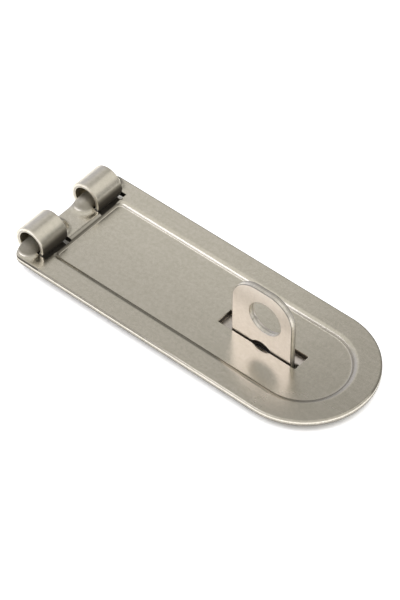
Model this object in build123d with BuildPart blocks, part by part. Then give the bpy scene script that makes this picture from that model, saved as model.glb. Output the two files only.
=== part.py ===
from build123d import *
from math import acos, atan2, cos, degrees, hypot, radians, sin, sqrt, tan
import os

# Pressed steel cover hasp, closed over its staple. Millimetres, +Z away from the door.
# The origin is the middle of the base leaf's four screws, on the door's surface.
# +X runs from the hinge to the round end of the cover.

# Sheets
cover_sheet = 2.0
leaf_sheet = 1.5
staple_sheet = 2.0
lay_gap = 0.1

# Cover leaf outline
cover_length = 115.0
cover_width = 45.0
hinge_corner_r = 3.5
edge_roll_r = 0.5

# Sunk panel of the cover: its foot line, its depth and the run of the rolled lip round it
panel_depth = 1.0
panel_half_width = 13.9
panel_start = 10.3
panel_corner_r = 1.5
lip_run = 2.0

# Hinge: distances from the cover's hinge end, from its middle line and above its rim
axis_inset = 2.9
axis_over_rim = 1.9
knuckle_outer_r = 5.5
knuckle_near_y = 7.0
knuckle_length = 10.5
roll_end_angle = -52.0
window_clearance = 0.35
window_reach = 9.7

# Half-round bars of the cover that turn inside the knuckles
bar_r = 2.9
bar_wall = 2.0
dome_inner_foot_r = 3.2
dome_outer_foot_r = 2.0

# Slot for the eye
slot_start = 63.1
slot_length = 28.8
slot_width = 6.2
slot_corner_r = 0.4

# Base leaf and its screws
leaf_half_width = 17.5
leaf_end = 55.0
leaf_corner_r = 3.0
ramp_run = 7.0
leaf_screw_start = 16.9
leaf_screw_pitch = 30.0
leaf_screw_spread = 21.0
screw_r = 2.5
screw_head_r = 3.5

# Staple plate, its screws and its folded eye
staple_length = 44.0
staple_width = 28.0
staple_corner_r = 2.5
staple_screw_end_inset = 5.5
staple_screw_side_inset = 5.0
eye_middle = 79.0
eye_width = 21.8
eye_front_gap = 0.4
eye_over_rim = 21.5
eye_shoulder_r = 8.5
eye_edge_chamfer = 0.3
shackle_hole_r = 5.8
shackle_hole_over_rim = 11.3
shackle_hole_offset = 1.2
fold_inner_r = 1.0
root_gap = 0.8
relief_r = 4.5
relief_over_panel = 1.9

# How far cutting tools run past what they cut, and how deep joined shapes overlap
cut_past = 5.0
overlap = 1.0

# Levels and places worked out from the sizes above
end_x = -(leaf_screw_start + leaf_screw_pitch / 2)
axis_x = end_x + axis_inset
round_x = end_x + cover_length - cover_width / 2
foot_x = end_x + panel_start
panel_under = staple_sheet + lay_gap
panel_top = panel_under + cover_sheet
rim_top = panel_top + panel_depth
rim_under = rim_top - cover_sheet
axis_z = rim_top + axis_over_rim
window_near = knuckle_near_y - window_clearance
window_length = knuckle_length + 2 * window_clearance
window_far = window_near + window_length
window_middle = (window_near + window_far) / 2

with BuildSketch(Plane.XY) as cover_outline:
    with BuildLine():
        side = cover_width / 2
        Line((end_x + hinge_corner_r, -side), (round_x, -side))
        ThreePointArc((round_x, -side), (round_x + side, 0), (round_x, side))
        Line((round_x, side), (end_x + hinge_corner_r, side))
        RadiusArc((end_x + hinge_corner_r, side), (end_x, side - hinge_corner_r), -hinge_corner_r)
        Line((end_x, side - hinge_corner_r), (end_x, -side + hinge_corner_r))
        RadiusArc((end_x, -side + hinge_corner_r), (end_x + hinge_corner_r, -side), -hinge_corner_r)
    make_face()

# Floor of the sunk panel: square end with small corners at the hinge, round end at the tip
with BuildSketch(Plane.XY) as panel_outline:
    with BuildLine():
        half = panel_half_width
        corner = panel_corner_r
        Line((foot_x + corner, -half), (round_x, -half))
        ThreePointArc((round_x, -half), (round_x + half, 0), (round_x, half))
        Line((round_x, half), (foot_x + corner, half))
        RadiusArc((foot_x + corner, half), (foot_x, half - corner), -corner)
        Line((foot_x, half - corner), (foot_x, -half + corner))
        RadiusArc((foot_x, -half + corner), (foot_x + corner, -half), -corner)
    make_face()

# The lip is an arc that leaves the rim level and drops to the panel. Its section is drawn as
# distances outside the foot line and heights, so the same section serves every side.
lip_r = (panel_depth**2 + lip_run**2) / (2 * panel_depth)
lip_half_turn = atan2(lip_run, lip_r - panel_depth) / 2
lip_middle = (lip_run - lip_r * sin(lip_half_turn), rim_top - lip_r + lip_r * cos(lip_half_turn))
bulge_run = sqrt(cover_sheet**2 - (cover_sheet - panel_depth) ** 2)
joint_z = rim_under + cover_sheet / 2


def lip_section(plane):
    """Air above the lip, from the foot line out to where the rim is flat."""
    with BuildSketch(plane) as section:
        with BuildLine():
            ThreePointArc((0, panel_top), lip_middle, (lip_run, rim_top))
            Polyline(
                (lip_run, rim_top),
                (lip_run, rim_top + cut_past),
                (0, rim_top + cut_past),
                (0, panel_top),
            )
        make_face()
    return section.sketch


def bulge_section(plane):
    """Metal under the lip: a slope from the panel's underside out to the rim's underside."""
    with BuildSketch(plane) as section:
        with BuildLine():
            Polyline(
                (0, panel_under),
                (bulge_run, rim_under),
                (bulge_run, joint_z),
                (0, joint_z),
                (0, panel_under),
            )
        make_face()
    return section.sketch


def round_the_panel(section, mode):
    """Carries a section round the panel: two long sides, round end, hinge side and corners."""
    long_side = round_x - foot_x - panel_corner_r
    short_side = 2 * (panel_half_width - panel_corner_r)
    near_start = Plane(
        origin=(foot_x + panel_corner_r, -panel_half_width, 0), x_dir=(0, -1, 0), z_dir=(-1, 0, 0)
    )
    far_start = Plane(origin=(round_x, panel_half_width, 0), x_dir=(0, 1, 0), z_dir=(1, 0, 0))
    hinge_start = Plane(
        origin=(foot_x, panel_half_width - panel_corner_r, 0), x_dir=(-1, 0, 0), z_dir=(0, 1, 0)
    )
    tip_start = Plane(origin=(round_x, -panel_half_width, 0), x_dir=(0, -1, 0), z_dir=(-1, 0, 0))
    extrude(section(near_start), amount=-long_side, mode=mode)
    extrude(section(far_start), amount=-long_side, mode=mode)
    extrude(section(hinge_start), amount=-short_side, mode=mode)
    revolve(
        section(tip_start), axis=Axis((round_x, 0, 0), (0, 0, 1)), revolution_arc=180, mode=mode
    )
    for way in (-1, 1):
        corner_y = way * (panel_half_width - panel_corner_r)
        corner_axis = Axis((foot_x + panel_corner_r, corner_y, 0), (0, 0, 1))
        corner_start = Plane(
            origin=(foot_x, corner_y, 0), x_dir=(-1, 0, 0), z_dir=(0, 1, 0)
        )
        revolve(section(corner_start), axis=corner_axis, revolution_arc=-way * 90, mode=mode)


with BuildPart() as windows:
    with BuildSketch(Plane.XY):
        window_size = window_reach + cut_past
        window_x = end_x + window_reach - window_size / 2
        with Locations((window_x, -window_middle), (window_x, window_middle)):
            Rectangle(window_size, window_length)
    extrude(amount=rim_top + bar_r + cut_past)

# Half-round bar in each window, standing on the level of the rim's top
with BuildPart() as bars:
    for bar_start in (-window_far, window_near):
        with BuildSketch(Plane.XZ.offset(-bar_start)):
            with Locations((axis_x, rim_top)):
                Circle(bar_r)
                Circle(bar_r - bar_wall, mode=Mode.SUBTRACT)
            with Locations((axis_x, rim_top - bar_r / 2)):
                Rectangle(2 * bar_r, bar_r, mode=Mode.SUBTRACT)
        extrude(amount=-window_length)

# Domes that close the bars and run out into the flat sheet. The crown has the bar's radius and
# the foot is hollow, so the section is two arcs that meet smoothly. The foot is wider between
# the knuckles than at the cover's sides.
domes_and_feet = (
    (-window_far, dome_outer_foot_r),
    (-window_near, dome_inner_foot_r),
    (window_near, dome_inner_foot_r),
    (window_far, dome_outer_foot_r),
)

with BuildPart() as domes:
    for y, foot_r in domes_and_feet:
        foot_reach = sqrt((bar_r + foot_r) ** 2 - foot_r**2)
        meet_turn = atan2(foot_reach, foot_r)
        meet_point = (bar_r * sin(meet_turn), bar_r * cos(meet_turn))
        crown_middle = (bar_r * sin(meet_turn / 2), bar_r * cos(meet_turn / 2))
        foot_middle = (
            foot_reach - foot_r * sin(meet_turn / 2),
            foot_r - foot_r * cos(meet_turn / 2),
        )
        with BuildSketch(Plane(origin=(axis_x, y, rim_top), x_dir=(1, 0, 0), z_dir=(0, -1, 0))):
            with BuildLine():
                ThreePointArc((0, bar_r), crown_middle, meet_point)
                ThreePointArc(meet_point, foot_middle, (foot_reach, 0))
                Polyline(
                    (foot_reach, 0),
                    (foot_reach, -cover_sheet / 2),
                    (0, -cover_sheet / 2),
                    (0, bar_r),
                )
            make_face()
        revolve(axis=Axis((axis_x, y, 0), (0, 0, 1)))
    with BuildSketch(Plane.XY.offset(rim_under)):
        add(cover_outline.sketch)
    extrude(amount=cover_sheet + bar_r + cut_past, mode=Mode.INTERSECT)
    add(windows.part, mode=Mode.SUBTRACT)

# Hollows under the domes, as deep as the hollow of the bars
hollow_r = bar_r - bar_wall

with BuildPart() as hollows:
    for y, _ in domes_and_feet:
        with BuildSketch(Plane(origin=(axis_x, y, rim_top), x_dir=(1, 0, 0), z_dir=(0, -1, 0))):
            with BuildLine():
                ThreePointArc(
                    (0, hollow_r),
                    (hollow_r * sqrt(0.5), hollow_r * sqrt(0.5)),
                    (hollow_r, 0),
                )
                Polyline(
                    (hollow_r, 0),
                    (hollow_r + bar_wall / 2, -cover_sheet),
                    (hollow_r + bar_wall / 2, -cover_sheet - overlap),
                    (0, -cover_sheet - overlap),
                    (0, hollow_r),
                )
            make_face()
        revolve(axis=Axis((axis_x, y, 0), (0, 0, 1)))

with BuildPart() as cover_leaf:
    with BuildSketch(Plane.XY.offset(rim_under)):
        add(cover_outline.sketch)
    extrude(amount=cover_sheet)
    fillet(cover_leaf.faces().sort_by(Axis.Z)[-1].outer_wire().edges(), edge_roll_r)
    with BuildSketch(Plane.XY.offset(panel_under)):
        add(panel_outline.sketch)
    extrude(amount=cover_sheet)
    round_the_panel(bulge_section, Mode.ADD)
    round_the_panel(lip_section, Mode.SUBTRACT)
    with BuildSketch(Plane.XY.offset(panel_top)):
        add(panel_outline.sketch)
    extrude(amount=cut_past, mode=Mode.SUBTRACT)
    add(windows.part, mode=Mode.SUBTRACT)
    with BuildSketch(Plane.XY):
        with Locations((end_x + slot_start + slot_length / 2, 0)):
            RectangleRounded(slot_length, slot_width, slot_corner_r)
    extrude(amount=rim_top + cut_past, mode=Mode.SUBTRACT)
    add(domes.part)
    add(bars.part)
    add(hollows.part, mode=Mode.SUBTRACT)

# Base leaf: a flat plate with two tabs that climb a gentle ramp and roll round the bars. The
# ramp's underside leaves the door at ramp_x and touches the knuckle's outer circle.
ramp = acos(knuckle_outer_r / hypot(axis_z, ramp_run)) - atan2(ramp_run, axis_z)
ramp_x = axis_x + ramp_run
ramp_top_x = ramp_x + leaf_sheet * tan(ramp / 2)
knuckle_inner_r = knuckle_outer_r - leaf_sheet
roll_start_angle = -90 - degrees(ramp)
roll_top_angle = (roll_start_angle + roll_end_angle - 360) / 2


def on_axis(radius, angle):
    """Point of the hinge's section at a radius and an angle from +X."""
    return (axis_x + radius * cos(radians(angle)), axis_z + radius * sin(radians(angle)))


with BuildPart() as base_leaf:
    for knuckle_y in (-knuckle_near_y, knuckle_near_y + knuckle_length):
        with BuildSketch(Plane.XZ.offset(-knuckle_y)):
            with BuildLine():
                outer_start = on_axis(knuckle_outer_r, roll_start_angle)
                outer_end = on_axis(knuckle_outer_r, roll_end_angle)
                inner_start = on_axis(knuckle_inner_r, roll_start_angle)
                inner_end = on_axis(knuckle_inner_r, roll_end_angle)
                Polyline((ramp_x + overlap, 0), (ramp_x, 0), outer_start)
                ThreePointArc(outer_start, on_axis(knuckle_outer_r, roll_top_angle), outer_end)
                Line(outer_end, inner_end)
                ThreePointArc(inner_end, on_axis(knuckle_inner_r, roll_top_angle), inner_start)
                Polyline(
                    inner_start,
                    (ramp_top_x, leaf_sheet),
                    (ramp_x + overlap, leaf_sheet),
                    (ramp_x + overlap, 0),
                )
            make_face()
        extrude(amount=knuckle_length)
    with BuildSketch(Plane.XY):
        with BuildLine():
            far_x = end_x + leaf_end
            half = leaf_half_width
            Line((ramp_top_x, -half), (far_x - leaf_corner_r, -half))
            RadiusArc((far_x - leaf_corner_r, -half), (far_x, -half + leaf_corner_r), -leaf_corner_r)
            Line((far_x, -half + leaf_corner_r), (far_x, half - leaf_corner_r))
            RadiusArc((far_x, half - leaf_corner_r), (far_x - leaf_corner_r, half), -leaf_corner_r)
            Polyline((far_x - leaf_corner_r, half), (ramp_top_x, half), (ramp_top_x, -half))
        make_face()
    extrude(amount=leaf_sheet)
    with Locations((0, 0, leaf_sheet)):
        with GridLocations(leaf_screw_pitch, leaf_screw_spread, 2, 2):
            CounterSinkHole(screw_r, screw_head_r)

# Staple plate: the eye is folded up from the plate's middle and leaves an open notch in front
fold_outer_r = fold_inner_r + staple_sheet
eye_front_y = -slot_width / 2 + eye_front_gap
eye_back_y = eye_front_y + staple_sheet
fold_y = eye_front_y + fold_outer_r
eye_x = end_x + eye_middle
eye_top = rim_top + eye_over_rim
staple_screw_pitch = staple_length - 2 * staple_screw_end_inset
staple_screw_spread = staple_width - 2 * staple_screw_side_inset
turn = sqrt(0.5)

with BuildPart() as staple_plate:
    with BuildSketch(Plane.XY):
        with Locations((eye_x, 0)):
            RectangleRounded(staple_length, staple_width, staple_corner_r)
        notch_depth = fold_y + staple_width / 2
        with Locations((eye_x, fold_y - notch_depth / 2)):
            Rectangle(eye_width + 2 * root_gap, notch_depth, mode=Mode.SUBTRACT)
    extrude(amount=staple_sheet)
    # Section of the fold and the upright eye, carried across the eye's width
    with BuildSketch(Plane.YZ.offset(eye_x - eye_width / 2)):
        with BuildLine():
            Line((fold_y + overlap, 0), (fold_y, 0))
            ThreePointArc(
                (fold_y, 0),
                (fold_y - fold_outer_r * turn, fold_outer_r * (1 - turn)),
                (eye_front_y, fold_outer_r),
            )
            Polyline(
                (eye_front_y, fold_outer_r),
                (eye_front_y, eye_top),
                (eye_back_y, eye_top),
                (eye_back_y, fold_outer_r),
            )
            ThreePointArc(
                (eye_back_y, fold_outer_r),
                (fold_y - fold_inner_r * turn, fold_outer_r - fold_inner_r * turn),
                (fold_y, staple_sheet),
            )
            Polyline(
                (fold_y, staple_sheet),
                (fold_y + overlap, staple_sheet),
                (fold_y + overlap, 0),
            )
        make_face()
    extrude(amount=eye_width)
    fillet(staple_plate.edges().filter_by(Axis.Y).group_by(Axis.Z)[-1], eye_shoulder_r)
    eye_front = staple_plate.faces().filter_by(Axis.Y).group_by(Axis.Z)[-1].sort_by(Axis.Y)[0]
    chamfer(eye_front.edges().sort_by(Axis.Z)[1:], eye_edge_chamfer)
    # Shackle hole, then the relief hole across the fold
    with BuildSketch(Plane.XZ.offset(cut_past)):
        with Locations((eye_x + shackle_hole_offset, rim_top + shackle_hole_over_rim)):
            Circle(shackle_hole_r)
    extrude(amount=-2 * cut_past, mode=Mode.SUBTRACT)
    with BuildSketch(Plane.XZ.offset(cut_past)):
        with Locations((eye_x, panel_top + relief_over_panel - relief_r)):
            Circle(relief_r)
    extrude(amount=-(cut_past + fold_y), mode=Mode.SUBTRACT)
    with Locations((eye_x, 0, staple_sheet)):
        with GridLocations(staple_screw_pitch, staple_screw_spread, 2, 2):
            CounterSinkHole(screw_r, screw_head_r)

os.makedirs("parts", exist_ok=True)
cover_leaf.part.label = "cover_leaf"
export_step(cover_leaf.part, "parts/cover_leaf.step")
base_leaf.part.label = "base_leaf"
export_step(base_leaf.part, "parts/base_leaf.step")
staple_plate.part.label = "staple_plate"
export_step(staple_plate.part, "parts/staple_plate.step")
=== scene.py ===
import math

import bmesh
import bpy
import numpy as np
from bpy.props import FloatProperty, FloatVectorProperty, PointerProperty
from bpy.types import Operator, Panel, PropertyGroup
from mathutils import Matrix, Vector


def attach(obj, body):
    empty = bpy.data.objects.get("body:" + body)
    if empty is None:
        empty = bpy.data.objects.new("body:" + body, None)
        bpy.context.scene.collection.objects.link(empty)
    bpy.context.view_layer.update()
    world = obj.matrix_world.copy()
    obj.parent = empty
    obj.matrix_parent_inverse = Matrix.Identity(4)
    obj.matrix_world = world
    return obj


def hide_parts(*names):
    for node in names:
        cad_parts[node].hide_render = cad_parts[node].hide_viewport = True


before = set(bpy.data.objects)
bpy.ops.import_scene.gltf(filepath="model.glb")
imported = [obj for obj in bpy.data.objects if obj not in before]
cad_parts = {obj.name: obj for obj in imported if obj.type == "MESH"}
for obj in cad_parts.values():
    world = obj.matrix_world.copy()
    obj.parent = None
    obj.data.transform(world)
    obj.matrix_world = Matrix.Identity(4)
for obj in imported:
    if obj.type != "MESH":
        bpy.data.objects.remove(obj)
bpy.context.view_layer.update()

bl_info = {
    "name": "Pressed steel cover hasp",
    "version": (1, 0, 0),
    "blender": (4, 5, 0),
    "location": "3D View > Sidebar > Hasp",
    "description": "Leaves and staple of a pressed steel cover hasp, with finish and stage",
    "category": "Add Mesh",
}

MM = 0.001

# Object coordinates, which are in metres, times this are millimetres
PER_MM = (1000.0, 1000.0, 1000.0)

# Material numbers on every piece: plated faces, sheared edges, inner cuts
PLATED, SHEARED, INNER_CUT = 0, 1, 2

# Rounding of the plates' edges, and the slope of the countersinks in degrees
PLATE_ROUNDING = 0.12 * MM
COUNTERSINK = 41.0

# How far the plating is painted dark as shade, from 0 to 1: on the cover's domes and bars, in the
# panel's lip and at its hinge end, towards the near side, the round end and along the outline
DOME_SHADE, LIP_SHADE, HINGE_LIP_SHADE, SLOPE_SHADE = 0.42, 0.3, 0.5, 0.3
NEAR_SHADE, TIP_SHADE, FAR_OUTLINE_SHADE, NEAR_OUTLINE_SHADE = 0.17, 0.12, 0.5, 0.35
# The same painted shade on the knuckles' side to the window and on their ramps
GAP_SHADE, RAMP_SHADE = 0.95, 0.9

# Painted shade over the first number also roughens the plating, at the second's rate, up to the
# third
SHADE_ROUGH_FROM, SHADE_ROUGH_RATE, ROUGHEST = 0.22, 1.3, 0.75

# Floor: half its side in metres, the signs of its corners, and its colours
FLOOR_HALF = 1.5
FLOOR_CORNERS = ((-1, -1), (1, -1), (1, 1), (-1, 1))
PAPER, SHADE = (0.88, 0.88, 0.88), (0.03, 0.03, 0.03)
BLACK, WHITE = (0.0, 0.0, 0.0), (1.0, 1.0, 1.0)

# Studio: strength all round, what the soft box and the window add, the least, and the backdrop's
STUDIO_LEVEL, SOFT_BOX_LEVEL, WINDOW_LEVEL = 0.83, 2.4, -0.1
DARKEST, BACKDROP_LEVEL = 0.1, 1.05
WARM_LIGHT, COOL_LIGHT = (1.0, 0.99, 0.98), (0.97, 0.98, 1.12)
# Cards: direction, how closely a ray follows it where the card starts and is full, and what it adds
STUDIO_CARDS = (
    ((0.41, 0.52, 0.75), 0.86, 0.98, 0.15),
    ((-0.22, 0.52, 0.82), 0.958, 0.992, -0.5),
    ((0.853, 0.522, 0.0), 0.84, 0.98, -0.7),
    ((-0.20, 0.98, 0.02), 0.62, 0.95, -0.62),
)

# Camera: the point that it looks at, in metres, and the shift that frames the photograph
CAMERA_AIM = (22.1 * MM, 0.0, 5.1 * MM)
CAMERA_SHIFT = (-0.001007, -0.00385)


def place(name, mm, description, **limits):
    """A place along an axis, given here in millimetres and kept in metres."""
    return FloatProperty(
        name=name,
        description=description,
        default=mm * MM,
        unit="LENGTH",
        subtype="DISTANCE",
        precision=5,
        **limits,
    )


def length(name, mm, description):
    """A length setting, given here in millimetres and kept in metres."""
    return place(name, mm, description, min=0.0)


def share(name, value, description, top=1.0):
    """A plain number setting from 0 to top."""
    return FloatProperty(name=name, description=description, default=value, min=0.0, max=top)


def colour(name, value, description):
    """A linear colour setting."""
    return FloatVectorProperty(
        name=name, description=description, default=value, size=3, min=0.0, max=1.0, subtype="COLOR"
    )


class HaspHinge(PropertyGroup):
    """Hinge of the cover leaf and the base leaf."""

    axis_x: place("Axis place", -29.0, "Place of the hinge's axis from the base leaf's middle")
    axis_z: length("Axis height", 7.0, "Height of the hinge's axis over the door")
    knuckle_outer: length("Knuckle radius", 5.5, "Outer radius of the rolled knuckles")
    knuckle_near: length("Knuckle start", 7.0, "Distance of each knuckle from the middle line")
    knuckle_length: length("Knuckle length", 10.5, "Length of each knuckle along the axis")
    roll_end: share("Roll end", 52.0, "Angle below the axis where the roll ends, in degrees", 90.0)
    bar_radius: length("Bar radius", 2.9, "Outer radius of the cover's half-round bars")
    bar_wall: length("Bar wall", 2.0, "Thickness of the cover's half-round bars")
    dome_inner_foot: length("Inner dome foot", 3.2, "Hollow radius round the inner domes")
    dome_outer_foot: length("Outer dome foot", 2.0, "Hollow radius round the outer domes")


class HaspCover(PropertyGroup):
    """Sizes of the cover leaf."""

    sheet: length("Sheet", 2.0, "Thickness of the cover's sheet")
    rim_top: length("Rim height", 5.1, "Height of the rim's top over the door")
    end_x: place("Hinge end", -31.9, "Place of the cover's straight end")
    long: length("Length", 115.0, "Length of the cover leaf")
    half_width: length("Half width", 22.5, "Half the width of the cover leaf")
    corner: length("Corner radius", 3.5, "Radius of the two corners at the hinge end")
    edge_roll: length("Edge roll", 0.5, "Radius of the rolled upper edge")
    cut_rounding: length("Cut edge rounding", 0.12, "Rounding of the lower cut edge")
    panel_depth: length("Panel depth", 1.0, "How far the panel is sunk below the rim")
    panel_half: length("Panel half width", 13.9, "Half the width of the panel's floor")
    panel_start: length("Panel start", 10.3, "Distance of the panel's floor from the hinge end")
    panel_corner: length("Panel corner radius", 1.5, "Radius of the panel's two corners")
    lip_run: length("Lip run", 2.0, "Width of the rolled lip round the panel")
    lip_foot: length("Lip foot radius", 0.5, "Hollow radius at the foot of the lip")
    window_reach: length("Window reach", 9.7, "Distance of the windows' far edge from the end")
    window_near: length("Window start", 6.65, "Distance of each window from the middle line")
    window_length: length("Window length", 11.2, "Length of each window along the hinge")
    slot_start: length("Slot start", 63.1, "Distance of the eye's slot from the hinge end")
    slot_length: length("Slot length", 28.8, "Length of the eye's slot")
    slot_half: length("Slot half width", 3.1, "Half the width of the eye's slot")
    slot_corner: length("Slot corner radius", 0.4, "Radius of the slot's corners")
    slot_rounding: length("Slot rounding", 0.08, "Rounding of the slot's upper edge")


class HaspBase(PropertyGroup):
    """Sizes of the base leaf."""

    sheet: length("Sheet", 1.5, "Thickness of the base leaf's sheet")
    half_width: length("Half width", 17.5, "Half the width of the base leaf")
    reach: length("Far end", 23.1, "Distance of the far end from the middle of the screws")
    corner: length("Corner radius", 3.0, "Radius of the base leaf's corners")
    ramp_run: length("Ramp run", 7.0, "Distance from the axis to the foot of the tabs' ramp")
    screw_x: length("Screw half pitch", 15.0, "Half the distance of the screws along the leaf")
    screw_y: length("Screw half spread", 10.5, "Half the distance of the screws across the leaf")
    screw_hole: length("Screw hole radius", 2.5, "Radius of the screw holes")
    screw_head: length("Screw head radius", 3.5, "Radius of the countersinks")


class HaspStaple(PropertyGroup):
    """Sizes of the staple plate and its eye."""

    sheet: length("Sheet", 2.0, "Thickness of the staple's sheet")
    middle_x: length("Eye place", 47.1, "Distance of the eye's middle from the origin")
    plate_length: length("Plate length", 44.0, "Length of the staple plate")
    plate_width: length("Plate width", 28.0, "Width of the staple plate")
    plate_corner: length("Plate corner radius", 2.5, "Radius of the plate's corners")
    screw_x: length("Screw half pitch", 16.5, "Half the distance of the screws along the plate")
    screw_y: length("Screw half spread", 9.0, "Half the distance of the screws across the plate")
    screw_hole: length("Screw hole radius", 2.5, "Radius of the screw holes")
    screw_head: length("Screw head radius", 3.5, "Radius of the countersinks")
    eye_half: length("Eye half width", 10.9, "Half the width of the eye")
    eye_top: length("Eye height", 26.6, "Height of the eye's top over the door")
    eye_shoulder: length("Shoulder radius", 8.5, "Radius of the eye's shoulders")
    eye_front: length("Eye front", 2.7, "Distance of the eye's front from the middle line")
    edge_roll: length("Edge roll", 0.16, "Rounding of the eye's front edges")
    hole_radius: length("Hole radius", 5.8, "Radius of the shackle hole")
    hole_height: length("Hole height", 16.4, "Height of the shackle hole's middle over the door")
    hole_offset: length("Hole offset", 1.2, "Offset of the hole towards the cover's round end")
    fold_inner: length("Fold radius", 1.0, "Inner radius of the fold at the eye's foot")
    root_gap: length("Root gap", 0.8, "Gap beside the eye where the plate is cut away")
    relief_radius: length("Relief radius", 4.5, "Radius of the relief hole across the fold")
    relief_height: place("Relief height", 1.5, "Height of the relief hole's middle over the door")


class HaspFinish(PropertyGroup):
    """Colours and roughness of the plated steel."""

    plate: colour("Plating", (0.745, 0.695, 0.588), "Colour of the satin plating")
    plate_dark: colour("Plating, dark", (0.635, 0.597, 0.49), "Colour of its darker clouds")
    eye_plate: colour("Staple plating", (0.705, 0.648, 0.584), "Colour of the staple's plating")
    eye_dark: colour("Staple plating, dark", (0.615, 0.56, 0.497), "Its darker clouds")
    cut: colour("Cut edge", (0.93, 0.88, 0.80), "Colour of the sheared edges")
    # The torn colour also serves as the dark colour of the painted shade on the plating
    torn: colour("Bare steel", (0.085, 0.075, 0.06), "Colour of torn or poorly plated steel")
    rough: share("Roughness", 0.22, "Roughness of the plated faces")
    rough_cut: share("Edge roughness", 0.40, "Roughness of the sheared edges")


class HaspStage(PropertyGroup):
    """Floor, light and camera."""

    azimuth: share("Camera azimuth", 40.234, "Camera's direction round the hasp, in degrees", 360.0)
    elevation: share("Camera elevation", 46.897, "Camera's height, in degrees", 90.0)
    roll: share("Camera roll", 0.177, "Camera's roll, in degrees", 5.0)
    distance: length("Camera distance", 911.26, "Distance of the camera from its aim")
    lens: share("Lens", 188.255, "Focal length in millimetres for a 36 mm frame", 400.0)


class Socket:
    """A shader socket that can be used in sums: each operator adds a Math node."""

    def __init__(self, maker, socket):
        self.maker = maker
        self.socket = socket

    def _math(self, operation, a, b=None):
        values = {0: a} if b is None else {0: a, 1: b}
        return self.maker.node("ShaderNodeMath", {"operation": operation}, values)

    def __add__(self, other):
        return self._math("ADD", self, other)

    __radd__ = __add__

    def __mul__(self, other):
        return self._math("MULTIPLY", self, other)

    __rmul__ = __mul__

    def __sub__(self, other):
        return self._math("SUBTRACT", self, other)

    def __rsub__(self, other):
        return self._math("SUBTRACT", other, self)

    def __truediv__(self, other):
        return self._math("DIVIDE", self, other)

    def __pow__(self, other):
        return self._math("POWER", self, other)

    def clamp(self):
        return self.maker.node("ShaderNodeClamp", {}, {"Value": self})

    def at_least(self, other):
        return self._math("MAXIMUM", self, other)

    def at_most(self, other):
        return self._math("MINIMUM", self, other)

    def absolute(self):
        return self._math("ABSOLUTE", self)


class Shader:
    """Makes the nodes of one material or world."""

    def __init__(self, tree):
        self.tree = tree
        self.tree.nodes.clear()

    def node(self, kind, settings, inputs, output=0):
        """Adds a node: its settings first, then a value or a link for each socket."""
        node = self.tree.nodes.new(kind)
        for key, value in settings.items():
            setattr(node, key, value)
        for key, value in inputs.items():
            if isinstance(value, Socket):
                self.tree.links.new(value.socket, node.inputs[key])
            else:
                node.inputs[key].default_value = value
        return Socket(self, node.outputs[output]) if len(node.outputs) else None

    def smooth(self, value, low, high, start=0.0, end=1.0):
        """A smooth step of value from low to high, giving start to end."""
        return self.node(
            "ShaderNodeMapRange",
            {"interpolation_type": "SMOOTHSTEP"},
            {"Value": value, "From Min": low, "From Max": high, "To Min": start, "To Max": end},
        )

    def band(self, value, start, full, fade, end):
        """0 below start, 1 from full to fade, and 0 again from end on."""
        return self.smooth(value, start, full) * self.smooth(value, fade, end, 1.0, 0.0)

    def noise(self, vector, scale, detail, rough):
        return self.node(
            "ShaderNodeTexNoise",
            {"noise_dimensions": "3D"},
            {"Vector": vector, "Scale": scale, "Detail": detail, "Roughness": rough},
        )

    def mix(self, factor, a, b):
        """A colour between a and b."""
        return self.node("ShaderNodeMix", {"data_type": "RGBA"}, {0: factor, 6: a, 7: b}, output=2)

    def along(self, vector, direction):
        """How far a vector reaches along a direction."""
        return self.node(
            "ShaderNodeVectorMath",
            {"operation": "DOT_PRODUCT"},
            {0: vector, 1: direction},
            output="Value",
        )

    def axes(self, vector):
        """The three axes of a vector."""
        return [
            self.node("ShaderNodeSeparateXYZ", {}, {"Vector": vector}, output=axis)
            for axis in ("X", "Y", "Z")
        ]

    def stretched(self, scale):
        """Object coordinates, in metres, scaled along each axis."""
        origin = self.node("ShaderNodeTexCoord", {}, {}, output="Object")
        return self.node("ShaderNodeMapping", {}, {"Vector": origin, "Scale": scale})

    def light_path(self, ray):
        """1 where a ray of the named kind arrives, or else 0."""
        return self.node("ShaderNodeLightPath", {}, {}, output=ray)


def rgba(values):
    return (*values, 1.0)


def new_material(name):
    """A material, and the maker of its nodes."""
    material = bpy.data.materials.new(name)
    material.use_nodes = True
    return material, Shader(material.node_tree)


def steel_surface(make, base, rough, strength, depth, height):
    """Ends a steel material: metal of a base colour and roughness under a bump of the height."""
    bump = make.node(
        "ShaderNodeBump", {}, {"Strength": strength, "Distance": depth, "Height": height}
    )
    shader = make.node(
        "ShaderNodeBsdfPrincipled",
        {},
        {"Base Color": base, "Metallic": 1.0, "Roughness": rough, "Normal": bump},
    )
    make.node("ShaderNodeOutputMaterial", {}, {"Surface": shader})


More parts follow.
